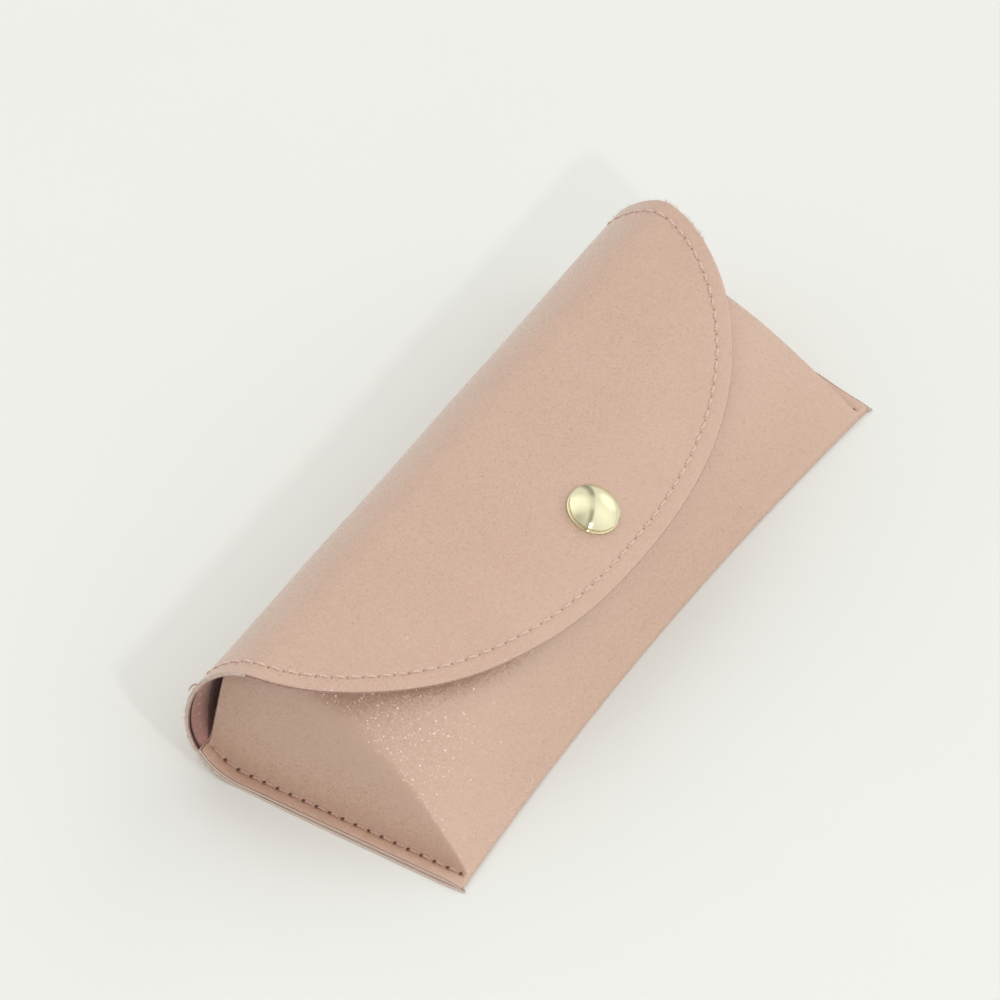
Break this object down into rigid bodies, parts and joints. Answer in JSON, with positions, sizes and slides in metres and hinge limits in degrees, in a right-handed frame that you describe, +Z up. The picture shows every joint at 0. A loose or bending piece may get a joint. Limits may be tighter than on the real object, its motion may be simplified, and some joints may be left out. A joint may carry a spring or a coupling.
{
  "type": "soft pouch glasses case",
  "caption": "Soft dusty-pink leather pouch for folded glasses: flat sewn ends, a lined pocket, and a wide rounded flap that wraps over from the back and closes with a pale gold snap.",
  "frame": {"origin": "On the ground under the middle of the case's outer box.", "axes": "+X runs along the case, +Z up, -Y towards the folded front edge and the snap, +Y towards the rear bend."},
  "size_m": [0.1762, 0.0728, 0.0391],
  "materials": {
    "pink_leather": "dusty pink smooth synthetic leather with a fine grain and a soft satin sheen",
    "pink_lining": "deeper pink satin-backed lining",
    "pink_thread": "pale pink twisted sewing thread",
    "pale_gold": "polished pale gold plate",
    "spring_steel": "drawn spring wire"
  },
  "bodies": {
    "pocket_body": {"base_panel": "pink_leather", "front_panel": "pink_leather", "base_lining": "pink_lining", "front_lining": "pink_lining", "left_end_stitching": "pink_thread", "right_end_stitching": "pink_thread", "snap_stud": "pale_gold", "stud_rivet": "pale_gold"},
    "spine": {"flap_spine": "pink_leather", "spine_lining": "pink_lining", "left_spine_stitching": "pink_thread", "right_spine_stitching": "pink_thread"},
    "flap": {"flap_cover": "pink_leather", "flap_lining": "pink_lining", "flap_edge_stitching": "pink_thread", "snap_cap": "pale_gold", "snap_socket": "pale_gold", "socket_spring": "spring_steel"}
  },
  "joints": [
    {"name": "rear_bend", "type": "hinge", "parent": "pocket_body", "child": "spine", "pos_m": [0, 0.03549, 0.01157], "axis": [-1, 0, 0], "range_deg": [0, 90]},
    {"name": "flap_bend", "type": "hinge", "parent": "spine", "child": "flap", "pos_m": [0, 0.02161, 0.03737], "axis": [-1, 0, 0], "range_deg": [0, 100]}
  ]
}
